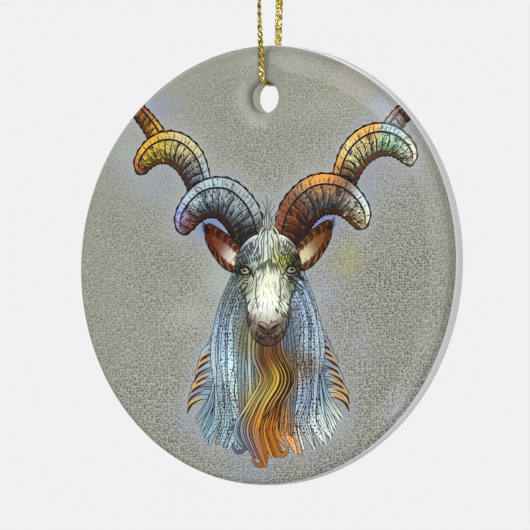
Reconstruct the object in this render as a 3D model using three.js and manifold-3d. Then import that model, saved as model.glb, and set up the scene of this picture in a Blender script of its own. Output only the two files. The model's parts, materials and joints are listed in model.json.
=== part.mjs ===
// A round porcelain hanging ornament: a white disc with a printed coat on its front, hung on a loop of gold cord.
// Millimetres, +Z up, the printed face towards -Y. The origin is the hang point: the top of the hook or twig that
// passes through the loop along X, close under the knot.
import * as THREE from "three";
import { mergeVertices } from "three/addons/utils/BufferGeometryUtils.js";
import Module from "manifold-3d";

// Disc
const DISC_RADIUS = 36.5;
const DISC_THICKNESS = 4;
const SHOULDER_RADIUS = 1.2; // round edge between the printed face and the rim
const BACK_EDGE_RADIUS = 1;
const COAT_THICKNESS = 0.3; // printed coat, let into the front face
const COAT_GAP = 0.05; // bond line between the coat and the porcelain

// Hanging hole
const HOLE_RADIUS = 2.55;
const HOLE_RISE = 27.8; // hole centre above the disc centre
const HOLE_LIP_RADIUS = 1;

// Cord
const CORD_RADIUS = 0.5;
const CORD_CLEARANCE = 0.1; // between the cord and the disc that rocks on it
const CORD_JOINT_GAP = 0.3; // between neighbouring stretches of cord

// Route of one side of the loop, from the middle of the hole up to the knot, as
// [distance out from the disc's mid-plane, height above the hang point].
const LIP_TURN = [
  [0, -60],
  [0.5, -60],
  [1, -60],
  [1.61, -59.88],
  [2.13, -59.53],
  [2.48, -59.01],
  [2.6, -58.4],
  [2.6, -57.5],
];
const LEG = [
  [2.6, -57.5],
  [2.93, -51.2],
  [3.33, -43.7],
  [3.66, -37.5],
];
const STRAND = [
  [3.66, -37.5],
  [4.06, -30],
  [4.46, -22.5],
  [4.85, -15],
  [5.2, -8.5],
  [5.3, -4.8],
  [5.12, -3.43],
  [4.59, -2.15],
  [3.75, -1.05],
  [2.4, 0.3],
  [0.92, 1.78],
];

// Knot, as the outer shape of an overhand knot in the doubled cord
const KNOT_CENTRE_Z = 3.8;
const KNOT_HALF_AXES = { x: 2.2, y: 1.9, z: 1.8 };

// The two cut ends above the knot, as [x, y, z]
const TAIL_LEFT = [
  [-1, -0.15, 5.75],
  [-1.9, -0.5, 7],
  [-3.2, -1, 8],
  [-4.9, -1.5, 8.5],
  [-6.5, -1.9, 8.2],
];
const TAIL_RIGHT = [
  [1, 0.15, 5.75],
  [1.65, 0.45, 7],
  [2.4, 0.9, 8.2],
  [3.5, 1.5, 9.2],
  [4.9, 2.1, 9.7],
];

// Facets
const DISC_SEGMENTS = 96;
const HOLE_SEGMENTS = 36;
const EDGE_SEGMENTS = 4;
const CORD_SIDES = 8;
const LIP_TURN_STEPS = 14;
const LEG_STEPS = 6;
const STRAND_STEPS = 17;
const TAIL_STEPS = 4;

// Places
const FACE = DISC_THICKNESS / 2;
const BIGHT_Z = LIP_TURN[0][1];
const HOLE_Z = BIGHT_Z + CORD_RADIUS + CORD_CLEARANCE - HOLE_RADIUS;
const DISC_Z = HOLE_Z - HOLE_RISE;
const FRONT = -1;
const BACK = 1;

const wasm = await Module();
wasm.setup();

// A closed BufferGeometry as a manifold-3d solid.
function solidOf(geometry) {
  const bare = geometry.clone();
  bare.deleteAttribute("normal");
  bare.deleteAttribute("uv");
  const merged = mergeVertices(bare);
  return new wasm.Manifold(
    new wasm.Mesh({
      numProp: 3,
      vertProperties: merged.attributes.position.array,
      triVerts: new Uint32Array(merged.index.array),
    }),
  );
}

// A manifold-3d solid as a BufferGeometry.
function geometryOf(solid) {
  const mesh = solid.getMesh();
  const geometry = new THREE.BufferGeometry();
  geometry.setAttribute("position", new THREE.BufferAttribute(new Float32Array(mesh.vertProperties), 3));
  geometry.setIndex(new THREE.BufferAttribute(new Uint32Array(mesh.triVerts), 1));
  geometry.computeVertexNormals();
  return geometry;
}

// A round edge of a profile: an arc about [radial, axial], from one angle to another.
function edgeArc(radial, axial, radius, start, end) {
  const points = [];
  for (let i = 0; i <= EDGE_SEGMENTS; i++) {
    const angle = start + ((end - start) * i) / EDGE_SEGMENTS;
    points.push(new THREE.Vector2(radial + radius * Math.cos(angle), axial + radius * Math.sin(angle)));
  }
  return points;
}

// The spool-shaped cutter of the hanging hole, which leaves a round lip on both faces.
function holeCutter() {
  const mouth = HOLE_RADIUS + HOLE_LIP_RADIUS;
  const lip = FACE - HOLE_LIP_RADIUS;
  const overrun = 1;
  const profile = [
    new THREE.Vector2(0, -FACE - overrun),
    new THREE.Vector2(mouth, -FACE - overrun),
    ...edgeArc(mouth, -lip, HOLE_LIP_RADIUS, -Math.PI / 2, -Math.PI),
    ...edgeArc(mouth, lip, HOLE_LIP_RADIUS, Math.PI, Math.PI / 2),
    new THREE.Vector2(mouth, FACE + overrun),
    new THREE.Vector2(0, FACE + overrun),
  ];
  return solidOf(new THREE.LatheGeometry(profile, HOLE_SEGMENTS).translate(0, 0, HOLE_Z));
}

const cutter = holeCutter();

// Revolves a disc's profile about Y and cuts the hanging hole through it.
function drilledDisc(profile) {
  const disc = solidOf(new THREE.LatheGeometry(profile, DISC_SEGMENTS).translate(0, 0, DISC_Z));
  return geometryOf(disc.subtract(cutter));
}

// White porcelain, rebated over its front and shoulder to take the printed coat.
function porcelainDisc() {
  const rebate = COAT_THICKNESS + COAT_GAP;
  const shoulder = SHOULDER_RADIUS - rebate;
  const seat = -FACE + rebate;
  const seatRim = DISC_RADIUS - rebate;
  const coatEnd = -FACE + SHOULDER_RADIUS + COAT_GAP;
  const backEdge = BACK_EDGE_RADIUS;
  return drilledDisc([
    new THREE.Vector2(0, seat),
    ...edgeArc(seatRim - shoulder, seat + shoulder, shoulder, -Math.PI / 2, 0),
    new THREE.Vector2(seatRim, coatEnd),
    new THREE.Vector2(DISC_RADIUS, coatEnd),
    ...edgeArc(DISC_RADIUS - backEdge, FACE - backEdge, backEdge, 0, Math.PI / 2),
    new THREE.Vector2(0, FACE),
  ]);
}

// The printed coat: a shallow cap that covers the front face and wraps over its shoulder.
function printCoat() {
  const radial = DISC_RADIUS - SHOULDER_RADIUS;
  const axial = -FACE + SHOULDER_RADIUS;
  return drilledDisc([
    new THREE.Vector2(0, -FACE),
    ...edgeArc(radial, axial, SHOULDER_RADIUS, -Math.PI / 2, 0),
    ...edgeArc(radial, axial, SHOULDER_RADIUS - COAT_THICKNESS, 0, -Math.PI / 2),
    new THREE.Vector2(0, -FACE + COAT_THICKNESS),
  ]);
}

// A round tube along a smooth curve, shortened at each end to leave half a gap to its neighbour.
function cordAlong(points, steps) {
  const route = points.map((p) => p.clone());
  const last = route.length - 1;
  route[0].lerp(points[1], CORD_JOINT_GAP / 2 / points[0].distanceTo(points[1]));
  route[last].lerp(points[last - 1], CORD_JOINT_GAP / 2 / points[last].distanceTo(points[last - 1]));
  return new THREE.ExtrudeGeometry(new THREE.Shape().absarc(0, 0, CORD_RADIUS, 0, 2 * Math.PI), {
    steps,
    curveSegments: CORD_SIDES / 2,
    bevelEnabled: false,
    extrudePath: new THREE.CatmullRomCurve3(route, false, "centripetal"),
  });
}

// A stretch of the loop's route on the disc's FRONT or BACK side.
function onSide(side, route) {
  return route.map(([out, z]) => new THREE.Vector3(0, side * out, z));
}

// The U of cord that carries the disc: through the hole and round both of its lips.
function bight() {
  const front = onSide(FRONT, LIP_TURN).reverse();
  const back = onSide(BACK, LIP_TURN).slice(1);
  return cordAlong([...front, ...back], LIP_TURN_STEPS);
}

function knot() {
  const { x, y, z } = KNOT_HALF_AXES;
  return new THREE.SphereGeometry(1, 16, 10).scale(x, y, z).translate(0, 0, KNOT_CENTRE_Z);
}

function tail(route) {
  return cordAlong(route.map((p) => new THREE.Vector3(...p)), TAIL_STEPS);
}

const porcelain = new THREE.MeshStandardMaterial({ color: 0xe4e3e0, roughness: 0.18, metalness: 0 });
const print = new THREE.MeshStandardMaterial({ color: 0x9c9b8f, roughness: 0.15, metalness: 0 });
const gold = new THREE.MeshStandardMaterial({ color: 0xc79a2a, roughness: 0.32, metalness: 0.85 });

const ornament = new THREE.Group();

function add(name, geometry, material) {
  const mesh = new THREE.Mesh(geometry, material.clone());
  mesh.name = name;
  ornament.add(mesh);
}

add("porcelain_disc", porcelainDisc(), porcelain);
add("print_coat", printCoat(), print);
add("loop_bight", bight(), gold);
add("loop_front_leg", cordAlong(onSide(FRONT, LEG), LEG_STEPS), gold);
add("loop_back_leg", cordAlong(onSide(BACK, LEG), LEG_STEPS), gold);
add("loop_front_strand", cordAlong(onSide(FRONT, STRAND), STRAND_STEPS), gold);
add("loop_back_strand", cordAlong(onSide(BACK, STRAND), STRAND_STEPS), gold);
add("loop_knot", knot(), gold);
add("loop_tail_left", tail(TAIL_LEFT), gold);
add("loop_tail_right", tail(TAIL_RIGHT), gold);

export default ornament;
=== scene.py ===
"""A hanging ornament: a round glazed porcelain disc with a printed goat's head, and a gold cord loop."""

import json
import math

import bpy
import numpy as np
from mathutils import Matrix, Vector
from mathutils.geometry import delaunay_2d_cdt
from mathutils.kdtree import KDTree

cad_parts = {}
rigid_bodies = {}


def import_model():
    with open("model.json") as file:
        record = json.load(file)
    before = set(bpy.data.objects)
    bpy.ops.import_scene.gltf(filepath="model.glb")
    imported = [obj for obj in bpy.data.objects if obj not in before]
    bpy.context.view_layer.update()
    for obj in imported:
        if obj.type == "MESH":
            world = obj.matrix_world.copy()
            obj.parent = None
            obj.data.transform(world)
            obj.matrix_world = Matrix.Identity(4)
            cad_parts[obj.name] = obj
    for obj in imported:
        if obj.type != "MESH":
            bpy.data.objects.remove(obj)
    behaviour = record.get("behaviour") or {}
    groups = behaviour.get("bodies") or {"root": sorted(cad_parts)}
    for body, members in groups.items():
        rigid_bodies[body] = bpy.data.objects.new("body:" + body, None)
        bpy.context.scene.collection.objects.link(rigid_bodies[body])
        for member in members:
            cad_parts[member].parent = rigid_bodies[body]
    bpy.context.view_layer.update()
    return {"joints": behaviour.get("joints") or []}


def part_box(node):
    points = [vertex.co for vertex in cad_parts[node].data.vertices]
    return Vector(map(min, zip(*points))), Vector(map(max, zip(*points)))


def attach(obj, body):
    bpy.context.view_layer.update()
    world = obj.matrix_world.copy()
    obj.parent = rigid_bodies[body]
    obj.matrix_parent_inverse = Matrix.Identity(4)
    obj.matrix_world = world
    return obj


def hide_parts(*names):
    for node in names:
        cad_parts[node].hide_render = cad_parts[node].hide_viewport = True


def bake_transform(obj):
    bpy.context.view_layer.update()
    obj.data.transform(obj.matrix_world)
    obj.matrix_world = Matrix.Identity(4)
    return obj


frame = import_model()

MM = 0.001

# ---- places, from the frame

JOINTS = {joint["name"]: joint for joint in frame["joints"]}
COAT_LOW, COAT_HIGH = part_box("print_coat")
DISC_RADIUS = (COAT_HIGH.x - COAT_LOW.x) / 2
DISC_Z = (COAT_HIGH.z + COAT_LOW.z) / 2
FRONT_Y = COAT_LOW.y
BACK_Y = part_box("porcelain_disc")[1].y
HOLE_RISE = JOINTS["disc_rock"]["pos_m"][2] - DISC_Z

# ---- driving dimensions

SHOULDER_RADIUS = 1.2 * MM
CROWN_START = 31.3 * MM  # where the flat of the face begins to fall away to the shoulder
FALL_LEAN = math.radians(3.6)
PRINT_EDGE_LEAN = math.radians(63)  # how far round the shoulder the print ends
BACK_EDGE_RADIUS = 1.5 * MM
HOLE_RADIUS = 2.55 * MM
HOLE_LIP_RADIUS = 1 * MM
DISH_WIDTH = 2.2 * MM  # the glaze sinks a little round the hole
DISH_DEPTH = 0.8 * DISH_WIDTH * math.tan(FALL_LEAN)
COAT_LIP_ANGLE = math.radians(84)  # how far the print runs into the hole's lip

# Texture scales: repeats to the metre.
STIPPLE_SCALE = 2080
FOIL_FACETS = 1800
FOIL_WINDINGS = 900
CLOUD_SCALE = 90
SPECK_SCALE = 420
WAVE_SCALE = 260
FACET_TIP = 0.55  # how far a foil facet's normal strays

# ---- camera

CAMERA_AZIMUTH = math.radians(31.34)
CAMERA_ELEVATION = math.radians(-2.5)
CAMERA_DISTANCE = 1.216
CAMERA_LENS = 497.6
CAMERA_AIM_RIGHT = -0.7 * MM
CAMERA_AIM_UP = 0.02 * MM


def direction(az, el):
    """The direction at an azimuth from the front and an elevation."""
    return Vector((math.sin(az) * math.cos(el), -math.cos(az) * math.cos(el), math.sin(el)))


def add_camera():
    """A long lens aimed close to the disc's centre."""
    back = direction(CAMERA_AZIMUTH, CAMERA_ELEVATION)
    right = Vector((math.cos(CAMERA_AZIMUTH), math.sin(CAMERA_AZIMUTH), 0))
    up = back.cross(right)
    aim = Vector((0, 0, DISC_Z)) + right * CAMERA_AIM_RIGHT + up * CAMERA_AIM_UP
    data = bpy.data.cameras.new("camera")
    data.lens = CAMERA_LENS
    data.clip_end = 100
    camera = bpy.data.objects.new("camera", data)
    turn = Matrix((right, up, back)).transposed().to_4x4()
    camera.matrix_world = Matrix.Translation(aim + back * CAMERA_DISTANCE) @ turn
    bpy.context.scene.collection.objects.link(camera)
    bpy.context.scene.camera = camera


# ---- mesh building


def smooth_step(t):
    t = np.clip(t, 0, 1)
    return t * t * (3 - 2 * t)


def unit(vectors):
    return vectors / np.linalg.norm(vectors, axis=-1, keepdims=True)


def round_angles(count):
    return np.linspace(0, 2 * math.pi, count, endpoint=False)


def circle(centre, radius, segments):
    angle = round_angles(segments)
    return np.asarray(centre) + radius * np.stack([np.cos(angle), np.sin(angle)], 1)


class Shell:
    """Faces welded where points meet. Their corners carry normals, and colours where there are any."""

    def __init__(self):
        self.points = []
        self.index = {}
        self.faces = []
        self.normals = []
        self.colours = []

    def vertex(self, point):
        key = tuple(int(round(c * 1e8)) for c in point)
        if key not in self.index:
            self.index[key] = len(self.points)
            self.points.append(tuple(float(c) for c in point))
        return self.index[key]

    def add(self, points, normals, faces, colours=None):
        """colours, where given, holds one list of corner colours for each face."""
        ids = [self.vertex(p) for p in points]
        for i, face in enumerate(faces):
            corners = [ids[v] for v in face]
            if len(set(corners)) < len(corners):
                continue
            self.faces.append(corners)
            self.normals.extend(tuple(normals[v]) for v in face)
            if colours is not None:
                self.colours.extend(colours[i])

    def grid(self, points, normals, close_across=False):
        """Quads over rows of points, each row a closed ring if close_across."""
        rows, columns = points.shape[:2]
        faces = []
        for i in range(rows - 1):
            here, above = i * columns, (i + 1) * columns
            for j in range(columns if close_across else columns - 1):
                k = (j + 1) % columns
                faces.append((here + j, here + k, above + k, above + j))
        self.add(points.reshape(-1, 3), normals.reshape(-1, 3), faces)

    def mesh(self, name):
        mesh = bpy.data.meshes.new(name)
        mesh.from_pydata(self.points, [], self.faces)
        mesh.polygons.foreach_set("use_smooth", [True] * len(self.faces))
        if self.colours:
            layer = mesh.color_attributes.new("print", "FLOAT_COLOR", "CORNER")
            layer.data.foreach_set("color", np.array(self.colours, np.float32).ravel())
        mesh.normals_split_custom_set(self.normals)
        return mesh


def add_object(name, mesh, material):
    piece = bpy.data.objects.new(name, mesh)
    piece.data.materials.append(material)
    bpy.context.scene.collection.objects.link(piece)
    return piece


# ---- the cord

# Route of one side of the loop, from the middle of the hole up to the knot, in millimetres, as
# [distance out from the disc's mid-plane, height above the hang point].
HALF_LOOP = [
    [0, -60], [0.5, -60], [1, -60], [1.61, -59.88], [2.13, -59.53], [2.48, -59.01], [2.6, -58.4],
    [2.6, -57.5], [2.93, -51.2], [3.33, -43.7], [3.66, -37.5], [4.06, -30], [4.46, -22.5], [4.85, -15],
    [5.2, -8.5], [5.3, -4.8], [5.12, -3.43], [4.59, -2.15], [3.75, -1.05], [2.4, 0.3], [0.92, 1.78],
]
INSIDE_KNOT = [0.35, 2.9]
LIP_CENTRE = (1.0, -58.4)  # of the hole's upper lip, as [distance out, height]
LIP_TURN_RADIUS = 1.6  # of the round tube that the frame has for the cord
FLAT_SETTLE = 0.3  # how much closer the flat cord lies
SETTLE_FADE = 7.0
TAIL_LEFT = [
    [-0.3, 0, 4.4], [-1, -0.15, 5.75], [-1.9, -0.5, 7], [-3.2, -1, 8], [-4.9, -1.5, 8.5], [-6.5, -1.9, 8.2],
]
TAIL_RIGHT = [
    [0.3, 0, 4.4], [1, 0.15, 5.75], [1.65, 0.45, 7], [2.4, 0.9, 8.2], [3.5, 1.5, 9.2], [4.9, 2.1, 9.7],
]
KNOT_Z = 3.8
KNOT_WRAP = (1.55, 1.3)  # half-axes of the wraps' centreline
KNOT_TURNS = 2.75
KNOT_PITCH = 0.92
KNOT_TILT = math.radians(14)

FRONT_TURN = math.radians(-54)  # of the flat cord, from facing the disc
BACK_TURN = math.radians(-31)
TURN_FROM = -60  # mm: the height at which the cord starts to turn
TURN_OVER = 17
PLAIT_YARNS = 3
PLAIT_PITCH = 3.5 * MM
PLAIT_SWING = 0.31 * MM  # how far a yarn wanders from the cord's middle line
PLAIT_LIFT = 0.13 * MM
YARN_HALF_WIDTH = 0.29 * MM
YARN_HALF_THICKNESS = 0.15 * MM
YARN_SIDES = 10
CORD_STEP = 0.1 * MM
WRAP_STEPS = 90
FRAY_LENGTH = 1.6 * MM  # the yarns part over this length at a cut end
FRAY_WIDE = 0.9 * MM
FRAY_HIGH = 0.25 * MM


def smooth_route(points, step):
    """Evenly spaced points along a centripetal Catmull-Rom curve."""
    p = np.array(points, float)
    p = np.vstack([2 * p[0] - p[1], p, 2 * p[-1] - p[-2]])
    fine = []
    for a, b, c, d in zip(p, p[1:], p[2:], p[3:]):
        t1 = np.linalg.norm(b - a) ** 0.5
        t2 = t1 + np.linalg.norm(c - b) ** 0.5
        t3 = t2 + np.linalg.norm(d - c) ** 0.5
        t = np.linspace(t1, t2, 40, endpoint=False)[:, None]
        ab = a + (b - a) * t / t1
        bc = b + (c - b) * (t - t1) / (t2 - t1)
        cd = c + (d - c) * (t - t2) / (t3 - t2)
        abc = ab + (bc - ab) * t / t2
        bcd = bc + (cd - bc) * (t - t1) / (t3 - t1)
        fine.append(abc + (bcd - abc) * (t - t1) / (t2 - t1))
    fine = np.vstack(fine + [p[-2:-1]])
    along = np.concatenate([[0], np.cumsum(np.linalg.norm(np.diff(fine, axis=0), axis=1))])
    places = np.linspace(0, along[-1], max(2, int(round(along[-1] / step)) + 1))
    return np.stack([np.interp(places, along, axis) for axis in fine.T], 1), places


def carried_frame(route, side):
    """Side and face directions along a route, with no twist of their own."""
    tangent = unit(np.gradient(route, axis=0))
    sides = np.zeros_like(route)
    current = np.array(side, float)
    for i, t in enumerate(tangent):
        current = unit(current - t * current.dot(t))
        sides[i] = current
    return sides, np.cross(tangent, sides)


def plait(name, material, route, along, side, twist=0.0, fray=0.0):
    """A piece of three flat yarns plaited along a route, parted over the length fray at its far end."""
    across, face = carried_frame(route, side)
    turn = np.broadcast_to(np.asarray(twist, float), along.shape)[:, None]
    across, face = across * np.cos(turn) + face * np.sin(turn), face * np.cos(turn) - across * np.sin(turn)
    loose = np.clip(1 - (along[-1] - along) / fray, 0, 1) ** 1.5 if fray else np.zeros(len(along))
    corner = round_angles(YARN_SIDES)[None, :, None]
    shell = Shell()
    for yarn in range(PLAIT_YARNS):
        share = yarn / PLAIT_YARNS
        phase = 2 * math.pi * (along / PLAIT_PITCH + share)
        swing = PLAIT_SWING * np.sin(phase) + loose * (share - 1 / PLAIT_YARNS) * FRAY_WIDE
        lift = PLAIT_LIFT * np.sin(2 * phase) + loose * math.cos(5 * share) * FRAY_HIGH
        middle = route + across * swing[:, None] + face * lift[:, None]
        ahead = unit(np.gradient(middle, axis=0))
        flat = unit(np.cross(face, ahead))
        thick = np.cross(ahead, flat)[:, None] * np.sin(corner)
        flat = flat[:, None] * np.cos(corner)
        rings = middle[:, None] + YARN_HALF_WIDTH * flat + YARN_HALF_THICKNESS * thick
        shell.grid(rings, unit(flat / YARN_HALF_WIDTH + thick / YARN_HALF_THICKNESS), close_across=True)
        for out, ring in ((-ahead[0], rings[0][::-1]), (ahead[-1], rings[-1])):
            shell.add(ring, [out] * YARN_SIDES, [tuple(range(YARN_SIDES))])
    return add_object(name, shell.mesh(name), material)


def loop_twist_angle(route):
    """How far the flat cord has turned from facing the disc: both strands turn slowly above the hole."""
    rise = smooth_step((route[:, 2] / MM - TURN_FROM) / TURN_OVER)
    return np.where(route[:, 1] < 0, FRONT_TURN * rise, BACK_TURN * rise)


def settled(out, z):
    """A point of the route where the flat cord lies against the hole's lip and the face beside it."""
    lip_out, lip_z = LIP_CENTRE
    if z > lip_z:
        return out - FLAT_SETTLE * max(0.0, 1 - (z - lip_z) / SETTLE_FADE), z
    if out <= lip_out:
        return out, z + FLAT_SETTLE
    closer = 1 - FLAT_SETTLE / LIP_TURN_RADIUS
    return lip_out + (out - lip_out) * closer, lip_z + (z - lip_z) * closer


def loop_route():
    """Up one side of the loop, through the knot and down the other side."""
    half = [settled(out, z) for out, z in HALF_LOOP] + [INSIDE_KNOT]
    front = [[0, -out, z] for out, z in half]
    back = [[0, out, z] for out, z in half]
    return np.array(front + back[::-1]) * MM


def knot_coil():
    """The knot's wraps: a leaning coil whose ends tuck in."""
    turns = np.linspace(0, 1, WRAP_STEPS)
    angle = 2 * math.pi * KNOT_TURNS * turns
    tuck = np.clip(np.minimum(turns, 1 - turns) * 9, 0.15, 1) ** 0.5
    wrap = np.array(KNOT_WRAP) * np.stack([np.cos(angle), np.sin(angle)], 1) * tuck[:, None]
    coil = np.column_stack([wrap, (turns - 0.5) * KNOT_PITCH * KNOT_TURNS])
    lean = np.array(Matrix.Rotation(KNOT_TILT, 3, "X"))
    return (coil @ lean.T + [0, 0, KNOT_Z]) * MM


def make_cord(material):
    route, along = smooth_route(loop_route(), CORD_STEP)
    loop = plait("cord_loop", material, route, along, (1, 0, 0), loop_twist_angle(route))
    knot = plait("cord_knot", material, *smooth_route(knot_coil(), CORD_STEP), (0, 0, 1))
    tails = []
    for name, points in (("cord_tail_left", TAIL_LEFT), ("cord_tail_right", TAIL_RIGHT)):
        tail, reach = smooth_route(np.array(points) * MM, CORD_STEP)
        tails.append(plait(name, material, tail, reach, (0.2, 1, 0), 0.25 * reach / MM, FRAY_LENGTH))
    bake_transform(loop)
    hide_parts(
        "loop_bight", "loop_front_leg", "loop_back_leg", "loop_front_strand", "loop_back_strand"
    )
    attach(knot, "loop_top")
    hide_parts("loop_knot")
    for tail, node in zip(tails, ("loop_tail_left", "loop_tail_right")):
        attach(tail, "loop_top")
        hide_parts(node)


# ---- the print: a goat's head in ink and wash
#
# The drawing is in millimetres from the disc's centre, x to the right and z up. What comes in pairs is drawn
# once, with x outward from the middle of the head, and placed on each side.

HEAD_X = 1.0
GROUND = (145, 147, 133)

# Soft spots of colour: x, z and spread in mm, then red, green and blue.
HORN_WASH = [
    (-12.5, 13.6, 2.2, 172, 200, 210), (-17.8, 8, 1.8, 128, 146, 206), (-6.2, 11, 2, 148, 160, 164),
    (-9.5, 8.2, 2.2, 78, 96, 102), (-14.5, 6.2, 1.6, 158, 92, 36), (-4.5, 3, 2, 62, 62, 60),
    (-22, 22, 2, 216, 156, 36), (-20, 18.6, 1.8, 188, 182, 60), (-15.5, 19.5, 2, 194, 180, 132),
    (-26, 16.8, 1.6, 168, 92, 34), (-13.6, 14.8, 1.6, 96, 62, 36), (-24, 26, 2, 140, 72, 32),
    (12.6, 14.6, 2, 230, 150, 42), (20.6, 10.4, 2, 206, 216, 226), (13.4, 9.8, 2.4, 98, 102, 102),
    (6.4, 5.4, 2.2, 116, 58, 24), (17.8, 6.6, 1.8, 206, 186, 122), (19.4, 22.4, 1.9, 216, 158, 62),
    (25.2, 22, 1.3, 140, 190, 206), (29.4, 17.6, 1.6, 214, 208, 184), (24.6, 18.6, 1.8, 176, 212, 172),
    (19, 17.2, 1.8, 204, 198, 146), (15.6, 13.6, 1.5, 104, 56, 24), (26.6, 25, 1.7, 150, 84, 44),
    (25.2, 24, 0.9, 140, 78, 42),
]
HEAD_WASH = [
    (1, -4, 2.4, 222, 228, 202), (1, -6.5, 1.6, 250, 250, 246), (-2, 3.4, 1.4, 214, 220, 232),
    (4, 3.6, 1.2, 222, 226, 224), (4, 1, 1.1, 190, 192, 84), (-2.2, 1.2, 1.1, 150, 172, 148),
    (-4.2, 0, 1.1, 54, 66, 56), (6.2, 0, 1.1, 62, 62, 34), (-3.4, 3, 1, 104, 116, 112),
    (5.4, 3, 1, 112, 92, 58), (-3.6, -4, 1.3, 124, 136, 110), (5.6, -4, 1.3, 126, 134, 102),
    (1, -9.2, 1.2, 188, 182, 154), (1, -12.4, 1.8, 84, 62, 50), (-1.8, -9.6, 0.8, 120, 104, 88),
    (3.8, -9.6, 0.8, 112, 96, 78),
]
EAR_WASH = [
    (-9.5, 4.5, 2, 104, 46, 22), (-5.5, 1, 1.6, 140, 84, 56), (12, 5, 2, 112, 62, 26),
    (7.5, 1, 1.6, 132, 88, 52),
]
EAR_INNER_WASH = [
    (-6, 1.2, 1.2, 226, 216, 200), (-9, 3.2, 1.8, 112, 58, 32), (8, 1.2, 1.2, 216, 210, 172),
    (11, 3.2, 1.8, 128, 78, 34),
]
COAT_WASH = [
    (-8.5, -5, 2.4, 84, 100, 106), (-8, -11, 2.4, 126, 154, 178), (-12, -13, 1.8, 152, 174, 186),
    (-6, -18, 2.4, 176, 208, 216), (-10, -21, 2.4, 120, 146, 160), (-8, -28, 2.6, 134, 166, 178),
    (-14.5, -15, 1.4, 204, 164, 118), (-15.5, -19, 1.4, 206, 160, 82), (-3, -12, 1.8, 150, 146, 78),
    (1, -15.5, 1.8, 128, 74, 38), (3.4, -19, 1.8, 202, 170, 62), (-1.5, -22, 1.8, 190, 170, 96),
    (1, -27, 2.2, 212, 134, 40), (1.5, -32, 2.4, 226, 138, 34), (-3.5, -31, 1.6, 126, 156, 190),
    (6.6, -11, 1.8, 122, 146, 168), (8, -17, 1.6, 92, 66, 48), (11, -13, 2, 138, 160, 172),
    (9.5, -22, 2.2, 122, 148, 172), (12, -27, 2.4, 206, 222, 216), (15.5, -14, 1.4, 208, 166, 104),
    (16.5, -19, 1.4, 166, 176, 184), (15.5, -22, 1.2, 202, 158, 70),
]
TUFT_WASH = [
    (-14, -18, 3, 196, 166, 122), (-10, -11, 3, 160, 166, 158), (16, -18, 3, 192, 164, 120),
    (11, -11, 3, 156, 164, 164),
]
FORELOCK_WASH = [
    (-1, 5, 2, 206, 216, 214), (3, 4, 1.6, 190, 196, 150), (1, 0, 1.2, 112, 128, 108),
    (1, 9, 2, 150, 156, 150),
]
# Haze over the ground: x, z, half-width and half-height in mm, strength, colour.
HAZE = [
    (-20, 27.5, 3.5, 2.5, 0.55, (140, 146, 172)), (-28, 20, 3, 4, 0.4, (166, 174, 180)),
    (-20, 13, 5, 3, 0.5, (150, 162, 176)), (-10, 6.6, 3.4, 2.4, 0.95, (112, 134, 182)),
    (-9, 15.5, 5, 2, 0.4, (172, 164, 156)), (-8.5, -2.5, 3.6, 3, 0.55, (178, 190, 178)),
    (-15, -8, 4, 3, 0.5, (184, 186, 180)), (-15, -25, 3.5, 4, 0.4, (154, 164, 176)),
    (-4, -34.5, 5, 1.8, 0.5, (146, 164, 180)), (23, 26, 3, 2.2, 0.55, (146, 154, 176)),
    (25, 13, 4, 3, 0.5, (164, 162, 170)), (20.5, 12, 2, 4, 0.5, (146, 158, 180)),
    (11.2, 7.2, 3.4, 2.4, 0.95, (114, 136, 180)), (12, 15.5, 4, 2, 0.35, (172, 162, 154)),
    (16.5, 0.4, 2.6, 2.6, 0.6, (176, 170, 104)), (12, -5, 3, 3, 0.5, (170, 178, 190)),
    (18.5, -13, 3, 7, 0.45, (168, 168, 176)), (14, -27, 4, 3, 0.5, (176, 182, 186)),
    (18, 29.5, 4, 1.8, 0.35, (170, 152, 130)), (12, 26, 6, 2.4, 0.3, (186, 182, 166)),
    (15, 33.4, 3, 0.7, 0.7, (142, 124, 104)),
]

# The turns of a horn, the furthest first: x, z and width along its spine, and how many rings it has.
HORN_TURNS = (
    ([[20.6, 18.6, 3.4], [21.6, 21.6, 3.2], [23.3, 24, 2.8], [25.5, 26.2, 2.4], [28, 28.2, 2]], 9),
    (
        [
            [13.2, 11, 3.4], [13.8, 14.6, 4.6], [15.8, 18.2, 5.4], [19, 20, 5.5], [22.2, 19.6, 5],
            [24.4, 17.8, 3.9], [25.2, 15.8, 2.6],
        ],
        15,
    ),
    (
        [
            [3.4, 0.2, 4.2], [3.7, 4.6, 6], [5.4, 8.6, 6.9], [8.8, 11.2, 6.9], [12.6, 11, 6.2],
            [15.6, 8.6, 4.9], [16.9, 5.6, 3.4],
        ],
        17,
    ),
)
HORN_REACH = {-1: 1.0, 1: 1.09}  # the far horn is drawn a little wider
HORN_BAND = 0.5  # where, across a horn, its outer band begins
HORN_UNDERSIDE = -0.74  # and where its shadowed underside ends
EAR = [[4.8, 1.6], [6.6, 3.9], [9, 5.7], [11.9, 6.9], [12.1, 4.6], [10.4, 1.6], [7.8, -0.7], [5.2, -0.9]]
EAR_INNER = [[5.6, 1.2], [7.2, 2.9], [9, 4.2], [10.9, 5], [10.5, 3.4], [8.8, 1.4], [7, 0.1], [5.6, -0.1]]
HEAD_HALF = [
    [0, 5], [2.8, 4.8], [5, 3.2], [6, 1], [6.2, -1], [5.5, -2.6], [4.9, -4.6], [4, -7], [3.4, -9],
    [3.3, -10.6], [2.6, -12.2], [1.4, -13.1], [0, -13.4],
]
GLOW = (172, 175, 182)  # the pale edge that the ground has round the drawing
GLOW_REACH = 1.7
GLOW_STRENGTH = 0.6
BEARD_GROUND = [[-4.5, -7], [1, -9], [6.5, -7], [6.5, -18], [5.5, -27], [1, -29.5], [-4, -27], [-5, -18]]
EYE_RIM = [[3.7, -1.15], [4, -0.7], [4.7, -0.5], [5.3, -0.75], [5.4, -1.1], [4.8, -1.35], [4.1, -1.4]]
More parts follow.
